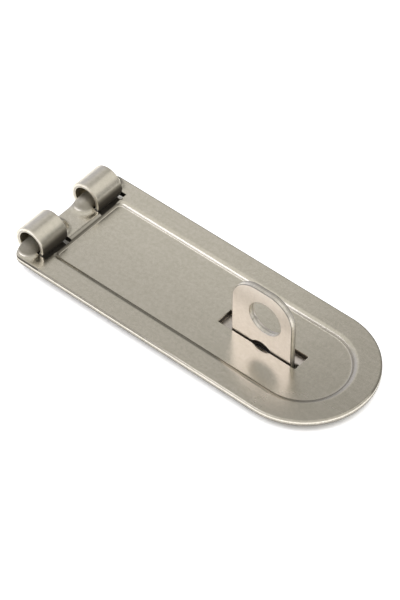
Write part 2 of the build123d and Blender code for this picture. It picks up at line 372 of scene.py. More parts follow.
def plated_steel(name, finish, seed, grain, colours, matt=0.0, thin=None):
    """Satin plating on pressed sheet: faint clouds between two colours, a fine rolled grain along
    grain and a soft unevenness that spreads the reflections. matt adds roughness. The last argument
    works out, from a place in millimetres, where the plating is painted dark as shade, and rougher,
    from 0 to 1."""
    material, make = new_material(name)
    even = make.stretched(PER_MM)
    moved = make.node(
        "ShaderNodeVectorMath", {"operation": "ADD"}, {0: even, 1: (seed, seed * 0.7, seed * 1.3)}
    )
    clouds = make.noise(moved, scale=0.22, detail=3.0, rough=0.55)
    mottle = make.noise(moved, scale=0.9, detail=3.0, rough=0.6)
    speckle = make.noise(moved, scale=2.6, detail=2.0, rough=0.6)
    fine = make.noise(moved, scale=9.0, detail=2.0, rough=0.6)
    streak = make.noise(make.stretched(grain), scale=1.0, detail=3.0, rough=0.6)
    tone = make.smooth(clouds * 0.15 + mottle * 0.4 + speckle * 0.25 + streak * 0.2, 0.35, 0.65)
    base = make.mix(tone, rgba(colours[1]), rgba(colours[0]))
    rough = finish.rough + matt - 0.04 + clouds * 0.04 + streak * 0.04
    if thin is not None:
        # Painted shade: the plating is mixed towards the dark torn colour, and roughened
        painted_dark = thin(make, make.axes(even))
        base = make.mix(painted_dark, base, rgba(finish.torn))
        rough = (rough + (painted_dark - SHADE_ROUGH_FROM).at_least(0.0) * SHADE_ROUGH_RATE).at_most(ROUGHEST)
    height = speckle * 0.5 + fine * 0.35 + streak * 0.5
    steel_surface(make, base, rough, 0.32, 0.04 * MM, height)
    return material


def sheared_steel(name, finish, across, depth_at, torn_darkness):
    """Sheared edge of the sheet. Fine lines run straight across the thickness. depth_at works out,
    from a place in millimetres, how far through the thickness it lies, from 0 to 1: the edge is
    smooth at first, then torn and rough, and dark at both of its borders. The last argument says
    how dark the torn band is; set high, it also serves as painted shade."""
    material, make = new_material(name)
    even = make.stretched(PER_MM)
    streak = make.noise(make.stretched(across), scale=1.0, detail=3.0, rough=0.65)
    grit = make.noise(even, scale=2.2, detail=3.0, rough=0.6)
    depth = depth_at(make, make.axes(even))
    wavy = depth + (streak - 0.5) * 0.3 + (grit - 0.5) * 0.4
    torn = make.smooth(wavy, 0.48, 0.62) * make.smooth(depth, 1.5, 1.6, 1.0, 0.0)
    middle = (depth - 0.5).absolute()
    border = make.smooth(middle + (grit - 0.5) * 0.08, 0.36, 0.42)
    border = border * make.smooth(middle, 0.52, 0.56, 1.0, 0.0)
    streaked = make.smooth(streak * 0.6 + grit * 0.4, 0.3, 0.7)
    plain = make.mix(streaked, rgba(finish.plate_dark), rgba(finish.cut))
    darkened = (torn * (0.4 + grit * 0.6) * torn_darkness + border * 0.7).clamp()
    base = make.mix(darkened, plain, rgba(finish.torn))
    rough = finish.rough_cut - 0.08 + grit * 0.2 + torn * 0.12
    height = streak * 0.6 + grit * 0.3 + torn * grit * 1.2
    steel_surface(make, base, rough, 0.7, 0.12 * MM, height)
    return material


def arc_steps(start, end, count):
    """Angles in radians from start to end, given in degrees."""
    return np.radians(np.linspace(start, end, count))


def rays(start, end, count):
    """Unit vectors at even angles from start to end, given in degrees."""
    turn = arc_steps(start, end, count)
    return np.stack([np.cos(turn), np.sin(turn)], 1)


def mirrored(half_loop, flip):
    """A loop from its first half: the second is its mirror image, run back."""
    return np.concatenate([half_loop, half_loop[1:-1][::-1] * np.array(flip)])


def leaf_loop(x0, x1, half, corner, counts):
    """Outline of a leaf with a straight end at x0, small corners there and a round end of radius
    half about x1. Returns points and outward normals. The loop starts at the middle of the straight
    end and runs round by -Y: end, corner, side, round end, side, corner, end."""
    ends, corners, sides, tips = counts
    bend, tip = rays(180, 270, corners + 1)[:-1], rays(-90, 0, tips + 1)
    flat = np.linspace(0.0, corner - half, ends, endpoint=False)
    along = np.linspace(x0 + corner, x1, sides, endpoint=False)
    points = [
        np.stack([np.full(ends, x0), flat], 1),
        np.array([x0 + corner, corner - half]) + corner * bend,
        np.stack([along, np.full(sides, -half)], 1),
        np.array([x1, 0.0]) + half * tip,
    ]
    normals = [np.tile([-1.0, 0.0], (ends, 1)), bend, np.tile([0.0, -1.0], (sides, 1)), tip]
    across = (1.0, -1.0)
    return mirrored(np.concatenate(points), across), mirrored(np.concatenate(normals), across)


def slot_loop(x0, x1, half, corner, counts):
    """Outline of a rectangular slot with small corners, point for point beside leaf_loop's."""
    ends, corners, sides, tips = counts
    low = corner - half
    rest = tips + 1 - corners
    along = np.linspace(x0 + corner, x1 - corner, sides, endpoint=False)
    points = [
        np.stack([np.full(ends, x0), np.linspace(0.0, low, ends, endpoint=False)], 1),
        np.array([x0 + corner, low]) + corner * rays(180, 270, corners + 1)[:-1],
        np.stack([along, np.full(sides, -half)], 1),
        np.array([x1 - corner, low]) + corner * rays(-90, 0, corners + 1)[:-1],
        np.stack([np.full(rest, x1), np.linspace(low, 0.0, rest)], 1),
    ]
    loop = mirrored(np.concatenate(points), (1.0, -1.0))
    ahead = np.roll(loop, -1, 0) - np.roll(loop, 1, 0)
    normals = np.stack([ahead[:, 1], -ahead[:, 0]], 1)
    return loop, normals / np.linalg.norm(normals, axis=1, keepdims=True)


def ring(points, z):
    """A loop of points in the plane, lifted to the height z."""
    return np.column_stack([points, np.full(len(points), z)])


def between(a, b, count):
    """count loops evenly spaced from loop a to loop b, both left out."""
    steps = np.linspace(0.0, 1.0, count + 2)[1:-1]
    return [a + (b - a) * step for step in steps]


def rounded_edge(loop, away, level, rise, count, to_flat=False):
    """Loops of a quarter round between a flat at a level and a wall on a loop: away leads from the
    loop to the flat's border, rise from the level to the wall. They run from flat to wall, or the
    other way."""
    rings = [
        ring(loop + away * (1 - math.sin(a)), level + rise * (1 - math.cos(a)))
        for a in arc_steps(0, 90, count)
    ]
    return rings[::-1] if to_flat else rings


def signed_volume(vertices, faces):
    """Six times the volume inside a closed mesh of quads, positive if its faces point out."""
    a, b, c, d = (vertices[faces[:, i]] for i in range(4))
    first = np.einsum("ij,ij->i", a, np.cross(b, c)).sum()
    return first + np.einsum("ij,ij->i", a, np.cross(c, d)).sum()


def grid_faces(rows, size, bands):
    """Quads in a number of bands between loops that follow one another, the first after the last,
    and the loop and the place in it that each starts from."""
    t, s = np.repeat(np.arange(bands), size), np.tile(np.arange(size), bands)
    t2, s2 = (t + 1) % rows, (s + 1) % size
    return np.stack([t * size + s, t * size + s2, t2 * size + s2, t2 * size + s], 1), t, s


def loops_and_kinds(sections):
    """All loops of a skin's sections in order, and each one's material number."""
    rings = [loop for loops, *_ in sections for loop in loops]
    return rings, [section[1] for section in sections for _ in section[0]]


def closed_band(rings, kinds):
    """Joins loops into a closed skin: the last loop meets the first again. kinds holds a material
    number for each loop. Returns vertices, faces and the faces' material numbers."""
    grid = np.stack(rings)
    count, size, _ = grid.shape
    vertices = grid.reshape(-1, 3)
    faces, t, _ = grid_faces(count, size, count)
    if signed_volume(vertices, faces) < 0:
        faces = faces[:, ::-1]
    return vertices, faces, np.array(kinds, np.int32)[t]


def capped_tube(grid):
    """Joins a stack of loops into a skin with a cap at each end. Returns vertices, faces, each
    face's place in its loop, and the caps."""
    rows, size, _ = grid.shape
    vertices = grid.reshape(-1, 3)
    faces, _, s = grid_faces(rows, size, rows - 1)
    caps = [list(range(size))[::-1], list(range((rows - 1) * size, rows * size))]
    if signed_volume(vertices - vertices.mean(0), faces) < 0:
        faces, caps = faces[:, ::-1], [cap[::-1] for cap in caps]
    return vertices, faces, s, caps


def blank_mesh(name):
    """An empty mesh with a slot for each material number, which a cut needs to keep them."""
    mesh = bpy.data.meshes.new(name)
    for _ in (PLATED, SHEARED, INNER_CUT):
        mesh.materials.append(None)
    return mesh


def to_mesh(name, vertices, faces, kinds=None, caps=(), cap_kind=SHEARED):
    """Puts worked-out vertices and faces into a new mesh object at the origin."""
    mesh = blank_mesh(name)
    mesh.from_pydata(vertices.tolist(), [], faces.tolist() + [list(cap) for cap in caps])
    if kinds is not None:
        full = np.concatenate([kinds, np.full(len(caps), cap_kind, np.int32)])
        mesh.polygons.foreach_set("material_index", full)
    mesh.update()
    thing = bpy.data.objects.new(name, mesh)
    bpy.context.scene.collection.objects.link(thing)
    return thing


def swept_sheet(path, normals, low, high, thickness, rounding):
    """A strip of sheet carried along a path in the XZ plane. Its section is a rectangle from low
    to high along Y and of the sheet's thickness along the path's normal, with small round
    corners. path holds the middle of the thickness. At the free end the section is drawn in along
    a quarter turn."""
    half_y, half_n = (high - low) / 2, thickness / 2
    signs = np.array([(1, 1), (-1, 1), (-1, -1), (1, -1)])
    centres = signs * (half_y - rounding, half_n - rounding)
    across = max(2, int(round((high - low) / (0.7 * MM))))
    corners = [
        centre + rounding * rays(start, start + 90, 5)
        for centre, start in zip(centres, (0, 90, 180, 270))
    ]
    section, kinds = [], []
    for index, corner in enumerate(corners):
        following = corners[(index + 1) % 4][0]
        count = across if index % 2 == 0 else 3
        steps = np.linspace(0, 1, count + 1)[1:-1, None]
        section += [corner, corner[-1] + (following - corner[-1]) * steps]
        kinds += [np.full(4, PLATED), np.full(count, SHEARED if index % 2 else PLATED)]
    section, kinds = np.concatenate(section), np.concatenate(kinds).astype(np.int32)
    ahead = path[-1] - path[-2]
    ahead = ahead / np.linalg.norm(ahead)
    end = path[-1] - ahead * rounding
    places, sides, scales = list(path[:-1]) + [end], list(normals), [(1.0, 1.0)] * len(path)
    for turn in arc_steps(18, 90, 5):
        places.append(end + ahead * rounding * math.sin(turn))
        sides.append(normals[-1])
        inset = rounding * (1 - math.cos(turn))
        scales.append((1 - inset / half_y, 1 - inset / half_n))
    places, sides, scales = np.array(places), np.array(sides), np.array(scales)
    loops = section[None] * scales[:, None]
    x = places[:, :1] + sides[:, :1] * loops[:, :, 1]
    z = places[:, 1:] + sides[:, 1:] * loops[:, :, 1]
    grid = np.stack([x, (low + high) / 2 + loops[:, :, 0], z], 2)
    vertices, faces, s, caps = capped_tube(grid)
    return vertices, faces, kinds[s], caps


def joined(parts):
    """Several skins as one: vertices, faces, kinds and caps with their numbers moved on."""
    vertices, faces, kinds, caps, start = [], [], [], [], 0
    for part in parts:
        vertices.append(part[0])
        faces.append(part[1] + start)
        kinds.append(part[2])
        caps += [[index + start for index in cap] for cap in part[3]]
        start += len(part[0])
    return np.concatenate(vertices), np.concatenate(faces), np.concatenate(kinds), caps


def block(name, low, high, kind):
    """A plain cutting block between two corners. Its cuts take the material with number kind."""
    x, y, z = np.meshgrid([0, 1], [0, 1], [0, 1], indexing="ij")
    unit = np.stack([x.ravel(), y.ravel(), z.ravel()], 1).astype(float)
    vertices = np.array(low) + unit * (np.array(high) - np.array(low))
    faces = np.array(
        [[0, 1, 3, 2], [4, 6, 7, 5], [0, 4, 5, 1], [2, 3, 7, 6], [0, 2, 6, 4], [1, 5, 7, 3]]
    )
    return to_mesh(name, vertices, faces, np.full(len(faces), kind, np.int32))


def turned(name, centre, axis, profile, count):
    """A cutting body turned about a line: profile lists (distance along axis, radius), and axis is
    'Y' or 'Z'. Each loop is radius times (cos, sin) of an even turn."""
    turn = np.linspace(0, 2 * math.pi, count, endpoint=False)
    rows = []
    for along, radius in profile:
        a, b = radius * np.cos(turn), radius * np.sin(turn)
        shift = np.full(count, along)
        rows.append(np.stack([a, b, shift] if axis == "Z" else [a, shift, b], 1) + centre)
    vertices, faces, _, caps = capped_tube(np.stack(rows))
    return to_mesh(name, vertices, faces, caps=caps)


def without_flaps(mesh):
    """Clears what a cut leaves behind: points that coincide, slivers, and flaps of no thickness,
    which are pairs of triangles on the same three points."""
    work = bmesh.new()
    work.from_mesh(mesh)
    bmesh.ops.remove_doubles(work, verts=work.verts, dist=0.002 * MM)
    bmesh.ops.dissolve_degenerate(work, edges=work.edges, dist=0.002 * MM)
    uneven = [face for face in work.faces if len(face.verts) > 4 or face.material_index != PLATED]
    bmesh.ops.triangulate(work, faces=uneven)
    by_points = {}
    for face in work.faces:
        by_points.setdefault(frozenset(face.verts), []).append(face)
    flaps = [face for faces in by_points.values() if len(faces) > 1 for face in faces]
    bmesh.ops.delete(work, geom=flaps, context="FACES")
    rims = [edge for edge in work.edges if edge.is_boundary]
    bmesh.ops.holes_fill(work, edges=rims, sides=4)
    work.to_mesh(mesh)
    work.free()


def cut_away(thing, cutters):
    """Takes the cutters' volumes out of a piece, and the cutters out of the scene."""
    for cutter in cutters:
        step = thing.modifiers.new("cut", "BOOLEAN")
        step.operation = "DIFFERENCE"
        step.solver = "EXACT"
        step.object = cutter
    graph = bpy.context.evaluated_depsgraph_get()
    shaped = bpy.data.meshes.new_from_object(thing.evaluated_get(graph))
    without_flaps(shaped)
    thing.modifiers.clear()
    thing.data = shaped
    for cutter in cutters:
        bpy.data.objects.remove(cutter)
    return thing


def finished(thing, materials, body, node, angle=34.0):
    """Gives a piece its materials and smooth shading, and ties it to its CAD body and node."""
    for kind, material in enumerate(materials):
        thing.data.materials[kind] = material
    while len(thing.data.materials) > len(materials):
        thing.data.materials.pop()
    thing.data.shade_smooth()
    thing.data.set_sharp_from_angle(angle=math.radians(angle))
    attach(thing, body)
    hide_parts(node)
    return thing


def dome_height(distance, radius, foot):
    """Height of a dome over the sheet at a distance from its middle: a ball of the given radius
    that runs out into the flat with a hollow of the foot's radius."""
    reach = math.sqrt((radius + foot) ** 2 - foot**2)
    meet = radius * reach / (radius + foot)
    crown = np.sqrt(np.maximum(radius**2 - np.minimum(distance, radius) ** 2, 0.0))
    back = np.clip(reach - distance, 0.0, foot)
    hollow = foot - np.sqrt(foot**2 - back**2)
    return np.where(distance < meet, crown, np.where(distance < reach, hollow, 0.0))


def cover_sections(size):
    """The cover's skin without its domes: round from the outline's lower edge over rim, lip and
    floor to the slot, and back below. Each section has loops, their material number, and which
    part of the domes' shape they take: wall, top, under or none."""
    counts = (60, 8, 64, 48)
    round_x = size.end_x + size.long - size.half_width
    edge, out = leaf_loop(size.end_x, round_x, size.half_width, size.corner, counts)
    foot, foot_out = leaf_loop(
        size.end_x + size.panel_start, round_x, size.panel_half, size.panel_corner, counts
    )
    slot_x = size.end_x + size.slot_start
    slot, slot_out = slot_loop(
        slot_x, slot_x + size.slot_length, size.slot_half, size.slot_corner, counts
    )
    top, under = size.rim_top, size.rim_top - size.sheet
    floor, floor_under = top - size.panel_depth, under - size.panel_depth
    small, roll, blunt = size.cut_rounding, size.edge_roll, size.slot_rounding
    # The lip's round shoulder and its hollow foot meet where they slope alike
    lip_radius = (size.panel_depth**2 + size.lip_run**2) / (2 * size.panel_depth)
    lip_turn = math.acos(
        (lip_radius - size.panel_depth + size.lip_foot) / (lip_radius + size.lip_foot)
    )
    foot_middle = size.lip_run - (lip_radius + size.lip_foot) * math.sin(lip_turn)
    bulge = math.acos((size.sheet - size.panel_depth) / size.sheet)

    def outside(run, z):
        """The panel's outline moved out by a run, at the height z."""
        return ring(foot + foot_out * run, z)

    shoulder = [
        outside(size.lip_run - lip_radius * math.sin(a), top - lip_radius * (1 - math.cos(a)))
        for a in np.linspace(0, lip_turn, 12)
    ]
    hollow = [
        outside(
            foot_middle + size.lip_foot * math.sin(a), floor + size.lip_foot * (1 - math.cos(a))
        )
        for a in np.linspace(lip_turn, 0, 7)[1:]
    ]
    below_lip = [
        outside(size.sheet * math.sin(a), floor - size.sheet * math.cos(a))
        for a in np.linspace(0, bulge, 9)
    ]
    rim_flat = between(ring(edge - out * roll, top), outside(size.lip_run, top), 26)
    # A flat loop beside the slot keeps its rounding's shading off the panel
    beside_slot = ring(slot + slot_out * blunt * 3, floor)
    slot_wall = between(ring(slot, floor - blunt), ring(slot, floor_under + small), 4)
    slot_foot = ring(slot + slot_out * small, floor_under)
    rim_under = between(below_lip[-1], ring(edge - out * small, under), 22)
    return [
        (rounded_edge(edge, -out * small, under, small, 4), SHEARED, "wall"),
        (between(ring(edge, under + small), ring(edge, top - roll), 5), SHEARED, "wall"),
        (rounded_edge(edge, -out * roll, top, -roll, 9, to_flat=True), PLATED, "top"),
        (rim_flat, PLATED, "top"),
        (shoulder, PLATED, "top"),
        (hollow, PLATED, "none"),
        (between(outside(foot_middle, floor), beside_slot, 21), PLATED, "none"),
        ([beside_slot], PLATED, "none"),
        (rounded_edge(slot, slot_out * blunt, floor, -blunt, 5), PLATED, "none"),
        (slot_wall, INNER_CUT, "none"),
        (rounded_edge(slot, slot_out * small, floor_under, small, 4, True), PLATED, "none"),
        (between(slot_foot, ring(foot, floor_under), 8), PLATED, "none"),
        (below_lip, PLATED, "none"),
        (rim_under, PLATED, "under"),
    ]


def raise_domes(sections, size, hinge):
    """Lifts the rim into the domes at the ends of the bars, and presses a ball and a cone into the
    underside below each."""
    near, far = size.window_near, size.window_near + size.window_length
    inner_foot, outer_foot = hinge.dome_inner_foot, hinge.dome_outer_foot
    domes = ((-far, outer_foot), (-near, inner_foot), (near, inner_foot), (far, outer_foot))
    under, inner = size.rim_top - size.sheet, hinge.bar_radius - hinge.bar_wall
    for loops, _, part in sections:
        if part == "none":
            continue
        for loop in loops:
            rise, hollow = np.zeros(len(loop)), np.zeros(len(loop))
            for y, dome_foot in domes:
                away = np.hypot(loop[:, 0] - hinge.axis_x, loop[:, 1] - y)
                rise = np.maximum(rise, dome_height(away, hinge.bar_radius, dome_foot))
                ball = size.sheet + np.sqrt(np.maximum(inner**2 - away**2, 0.0))
                cone = size.sheet * np.clip(1 - (away - inner) / MM, 0.0, 1.0)
                hollow = np.maximum(hollow, np.where(away < inner, ball, cone))
            if part == "top":
                loop[:, 2] += rise
            elif part == "wall":
                loop[:, 2] += rise * (loop[:, 2] - under) / size.sheet
            else:
                loop[:, 2] += hollow


class HASP_OT_cover(Operator):
    """Cover leaf with its sunk panel, slot, windows and the half-round bars in them"""

    bl_idname = "hasp.cover"
    bl_label = "Cover Leaf"

    def execute(self, context):
        size, hinge = context.scene.hasp_cover, context.scene.hasp_hinge
        finish = context.scene.hasp_finish
        sections = cover_sections(size)
        raise_domes(sections, size, hinge)
        cover = to_mesh("cover_leaf_pressed", *closed_band(*loops_and_kinds(sections)))
        # Windows, cut right through and open towards the hinge end
        past = 5 * MM
        reach = size.end_x + size.window_reach
        starts = (-size.window_near - size.window_length, size.window_near)
        windows = [
            block(
                "window",
                (size.end_x - past, low, -past),
                (reach, low + size.window_length, 20 * MM),
                INNER_CUT,
            )
            for low in starts
        ]
        cut_away(cover, windows)
        # Bars: strips of the sheet bent over the hinge's axis
        normals = rays(180, 0, 33)
        path = np.array([hinge.axis_x, size.rim_top])
        path = path + (hinge.bar_radius - hinge.bar_wall / 2) * normals
        overlap, corner = 0.05 * MM, 0.02 * MM
        bars = [
            swept_sheet(
                path,
                normals,
                low - overlap,
                low + size.window_length + overlap,
                hinge.bar_wall,
                corner,
            )
            for low in starts
        ]
        merge_into(cover, [to_mesh("bars", *joined(bars))])
        top, sheet, half = size.rim_top / MM, size.sheet / MM, size.half_width / MM
        floor = top - size.panel_depth / MM
        hinge_lip = (size.end_x + size.panel_start) / MM
        round_x = (size.end_x + size.long) / MM - half

        def cover_painted_shade(make, axes):
            """Painted shade on the cover, which also roughens the plating where it is strong: over
            the domes and bars and in the panel's lip, where the metal is stretched, on the lip's
            slope at the hinge end, towards the near side and the round end, and along the outline."""
            x, y, z = axes
            # Painted shade: the domes and bars, the lip and its hinge end, the near side, the round
            # end and the outline are darkened
            raised = make.smooth(z, top + 0.1, top + 0.9) * DOME_SHADE
            lip = make.band(z, floor + 0.03, floor + 0.12, floor + 0.45, floor + 0.8)
            lip = lip * make.smooth(x, hinge_lip, hinge_lip + 0.5, HINGE_LIP_SHADE, LIP_SHADE)
            hinge_slope = make.band(z, floor + 0.3, floor + 0.6, top - 0.12, top - 0.02)
            hinge_slope = hinge_slope * make.smooth(x, hinge_lip, hinge_lip + 0.3, SLOPE_SHADE, 0.0)
            near = make.smooth(y, -17.0, 17.0, NEAR_SHADE, 0.0)
            tip = make.smooth(x, 35.0, 72.0) * TIP_SHADE
            past_side = (x - round_x).at_least(0.0)
            reach = (past_side * past_side + y * y) ** 0.5
            outline = make.smooth(reach, half - 0.6, half - 0.3)
            near_half = make.smooth(y, -5.0, 0.0, NEAR_OUTLINE_SHADE, 0.0)
            near_half = near_half * make.smooth(x, 15.0, 45.0, 1.0, 0.0)
            outline = outline * (make.smooth(y, 0.0, 5.0, 0.0, FAR_OUTLINE_SHADE) + near_half)
            return raised + lip + hinge_slope + near + tip + outline

        def below_rim(make, axes):
            return (top - axes[2]) / sheet

        def below_floor(make, axes):
            """The inner cuts are counted half a sheet deeper, so that they are mostly dark torn
            band: partly real torn steel, partly painted shade in the slot and the windows.
            """
            return (top - axes[2]) / sheet * 0.5 + 0.5

        lines = (2600.0, 2600.0, 260.0)
        colours = (finish.plate, finish.plate_dark)
        grain = (60.0, 1100.0, 1100.0)
        # The cover's plating carries the painted shade worked out above
        materials = [
            plated_steel("satin_plated_cover", finish, 3.0, grain, colours, thin=cover_painted_shade),
            sheared_steel("sheared_cover_edge", finish, lines, below_rim, torn_darkness=0.8),
            # A very dark torn band on the inner cuts: painted shade in the slot and the windows
            sheared_steel("sheared_cover_cuts", finish, lines, below_floor, torn_darkness=2.2),
        ]
        finished(cover, materials, "cover", "cover_leaf")
        return {"FINISHED"}


def merge_into(thing, others):
    """Adds the meshes of other pieces to one piece, keeping material numbers."""
    skins = [thing] + others
    vertices, faces, kinds, start = [], [], [], 0
    for skin in skins:
        mesh = skin.data
        flat = np.zeros(len(mesh.vertices) * 3)
        mesh.vertices.foreach_get("co", flat)
        vertices.append(flat.reshape(-1, 3))
        faces += [[index + start for index in polygon.vertices] for polygon in mesh.polygons]
        index = np.zeros(len(mesh.polygons), np.int32)
        mesh.polygons.foreach_get("material_index", index)
        kinds.append(index)
        start += len(mesh.vertices)
    mesh = blank_mesh(thing.name)
    mesh.from_pydata(np.concatenate(vertices).tolist(), [], faces)
    mesh.polygons.foreach_set("material_index", np.concatenate(kinds))
    mesh.update()
    thing.data = mesh
    for skin in others:
        bpy.data.objects.remove(skin)


def flat_plate(name, outline, low, high, rounding):
    """A flat sheet: an outline drawn in by the rounding at its upper and lower edge. The outline
    runs anticlockwise seen from above, and corners keep their points."""
    behind = outline - np.roll(outline, 1, 0)
    ahead = np.roll(outline, -1, 0) - outline
    behind = behind / np.linalg.norm(behind, axis=1, keepdims=True)
    ahead = ahead / np.linalg.norm(ahead, axis=1, keepdims=True)
    side = np.stack([behind[:, 1], -behind[:, 0]], 1) + np.stack([ahead[:, 1], -ahead[:, 0]], 1)
    out = side / np.maximum((side**2).sum(1, keepdims=True) / 2, 0.3)
    rings = rounded_edge(outline, -out * rounding, low, rounding, 3)
    rings += rounded_edge(outline, -out * rounding, high, -rounding, 3, to_flat=True)
    vertices, faces, _, caps = capped_tube(np.stack(rings))
    kinds = np.full(len(faces), SHEARED, np.int32)
    return to_mesh(name, vertices, faces, kinds, caps, cap_kind=PLATED)


def screw_holes(size, middle_x, top):
    """Volumes of the four countersunk screw holes about middle_x, for a sheet that ends at top."""
    hole, head = size.screw_hole, size.screw_head
    slope = math.tan(math.radians(COUNTERSINK))
    past = 4 * MM
    profile = [
        (-past, hole),
        (top - (head - hole) / slope, hole),
        (top, head),
        (top + past, head + past * slope),
    ]
    places = [
        (middle_x + sx * size.screw_x, sy * size.screw_y, 0.0) for sx in (-1, 1) for sy in (-1, 1)
    ]
    return [turned("screw_hole", np.array(place), "Z", profile, 56) for place in places]


class HASP_OT_base(Operator):
    """Base leaf with its four screw holes and two rolled knuckles"""

    bl_idname = "hasp.base"
    bl_label = "Base Leaf"

    def execute(self, context):
        size, hinge = context.scene.hasp_base, context.scene.hasp_hinge
        finish = context.scene.hasp_finish
        axis = np.array([hinge.axis_x, hinge.axis_z])
        outer, half = hinge.knuckle_outer, size.sheet / 2
        # The tab's middle line: flat, a bend, a ramp that touches the roll, and the roll
        ramp = math.acos(outer / math.hypot(hinge.axis_z, size.ramp_run)) - math.atan2(
            size.ramp_run, hinge.axis_z
        )
        bend = np.array([hinge.axis_x + size.ramp_run + half * math.tan(ramp / 2), half])
        around = rays(-90 - math.degrees(ramp), -360 - hinge.roll_end, 90)
        roll = axis + (outer - half) * around
        down = np.array([0.0, -1.0])
        along = (roll[0] - bend) / np.linalg.norm(roll[0] - bend)
        start = bend + np.array([0.6 * MM, 0.0])
        soft = 0.3 * MM
        ramp_points = between(bend + along * soft, roll[0], 6)
        path = [start, bend + np.array([soft, 0.0]), bend + (along - [1, 0]) * 0.02 * soft]
        path += [bend + along * soft] + ramp_points + list(roll)
        middle_normal = down + around[0]
        normals = [down, down, middle_normal / np.linalg.norm(middle_normal)]
        normals += [around[0]] * (1 + len(ramp_points)) + list(around)
        near, far = hinge.knuckle_near, hinge.knuckle_near + hinge.knuckle_length
        tabs = [
            swept_sheet(np.array(path), np.array(normals), low, high, size.sheet, 0.25 * MM)
            for low, high in ((-far, -near), (near, far))
        ]
        knuckles = to_mesh("knuckles", *joined(tabs))
        corner, wide, reach = size.corner, size.half_width, size.reach
        arcs = [
            np.array([reach - corner, sign * (wide - corner)]) + corner * arc
            for sign, arc in ((-1, rays(-90, 0, 12)), (1, rays(0, 90, 12)))
        ]
        outline = np.concatenate([[[start[0], -wide]], *arcs, [[start[0], wide]]])
        leaf = flat_plate("base_leaf_rolled", outline, 0.0, size.sheet, PLATE_ROUNDING)
        cut_away(leaf, screw_holes(size, 0.0, size.sheet))
        merge_into(leaf, [knuckles])
        axis_x, axis_z = axis / MM
        outer_mm, sheet_mm = outer / MM, size.sheet / MM

        def knuckle_gap_shade(make, axes):
            """Painted shade on the knuckle's side that faces the cover's window, and at the foot of
            its ramp.
            """
            ahead, above = axes[0] - axis_x, axes[2] - axis_z
            side = make.band(ahead, 3.6, 5.2, 6.0, 7.5)
            side = side * make.smooth(above, 0.6, 3.6, GAP_SHADE, 0.0)
            root = make.band(ahead, -0.5, 1.0, 6.0, 7.5) * RAMP_SHADE
            root = root * make.smooth(above, -3.0, -1.8, 1.0, 0.0)
            return side.at_least(root)

        def through_roll(make, axes):
            """Depth measured from the knuckle's outside, or from the plate's underside."""
            x, z = axes[0] - axis_x, axes[2] - axis_z
            radius = (x * x + z * z) ** 0.5
            rolled = make.smooth(radius, outer_mm + 0.1, outer_mm + 0.2, 1.0, 0.0)
            return (outer_mm - radius) / sheet_mm * rolled + axes[2] / sheet_mm * (1.0 - rolled)

        lines = (900.0, 2600.0, 900.0)
        colours = (finish.plate, finish.plate_dark)
        grain = (1100.0, 60.0, 1100.0)
        # The base's plating carries the painted shade in the gap worked out above
        materials = [
            plated_steel("satin_plated_base", finish, 11.0, grain, colours, 0.13, knuckle_gap_shade),
            sheared_steel("sheared_base_edge", finish, lines, through_roll, torn_darkness=0.6),
        ]
        finished(leaf, materials, "base", "base_leaf")
        return {"FINISHED"}


def eye_blank(size, foot):
    """The eye as a flat blank from the height foot up: its outline, the outline's normals, and its
    hole, point for point on rays from the hole's middle."""
    wide, top, shoulder = size.eye_half, size.eye_top, size.eye_shoulder
    corner = rays(0, 90, 40)[1:]
    right = np.concatenate(
        [
            np.stack([np.linspace(0.0, wide, 24), np.full(24, foot)], 1),
            np.stack([np.full(59, wide), np.linspace(foot, top - shoulder, 60)[1:]], 1),
            np.array([wide - shoulder, top - shoulder]) + shoulder * corner,
            np.stack([np.linspace(wide - shoulder, 0.0, 8)[1:], np.full(7, top)], 1),
        ]
    )
    # The foot has no rounding: it is joined to the plate
    right_out = np.concatenate(
        [np.zeros((23, 2)), np.tile([1.0, 0.0], (60, 1)), corner, np.tile([0.0, 1.0], (7, 1))]
    )
    outline, out = mirrored(right, (-1.0, 1.0)), mirrored(right_out, (-1.0, 1.0))
    centre = np.array([size.hole_offset, size.hole_height])
    ray = outline - centre
    ray = ray / np.linalg.norm(ray, axis=1, keepdims=True)
    return outline, out, centre + size.hole_radius * ray, ray


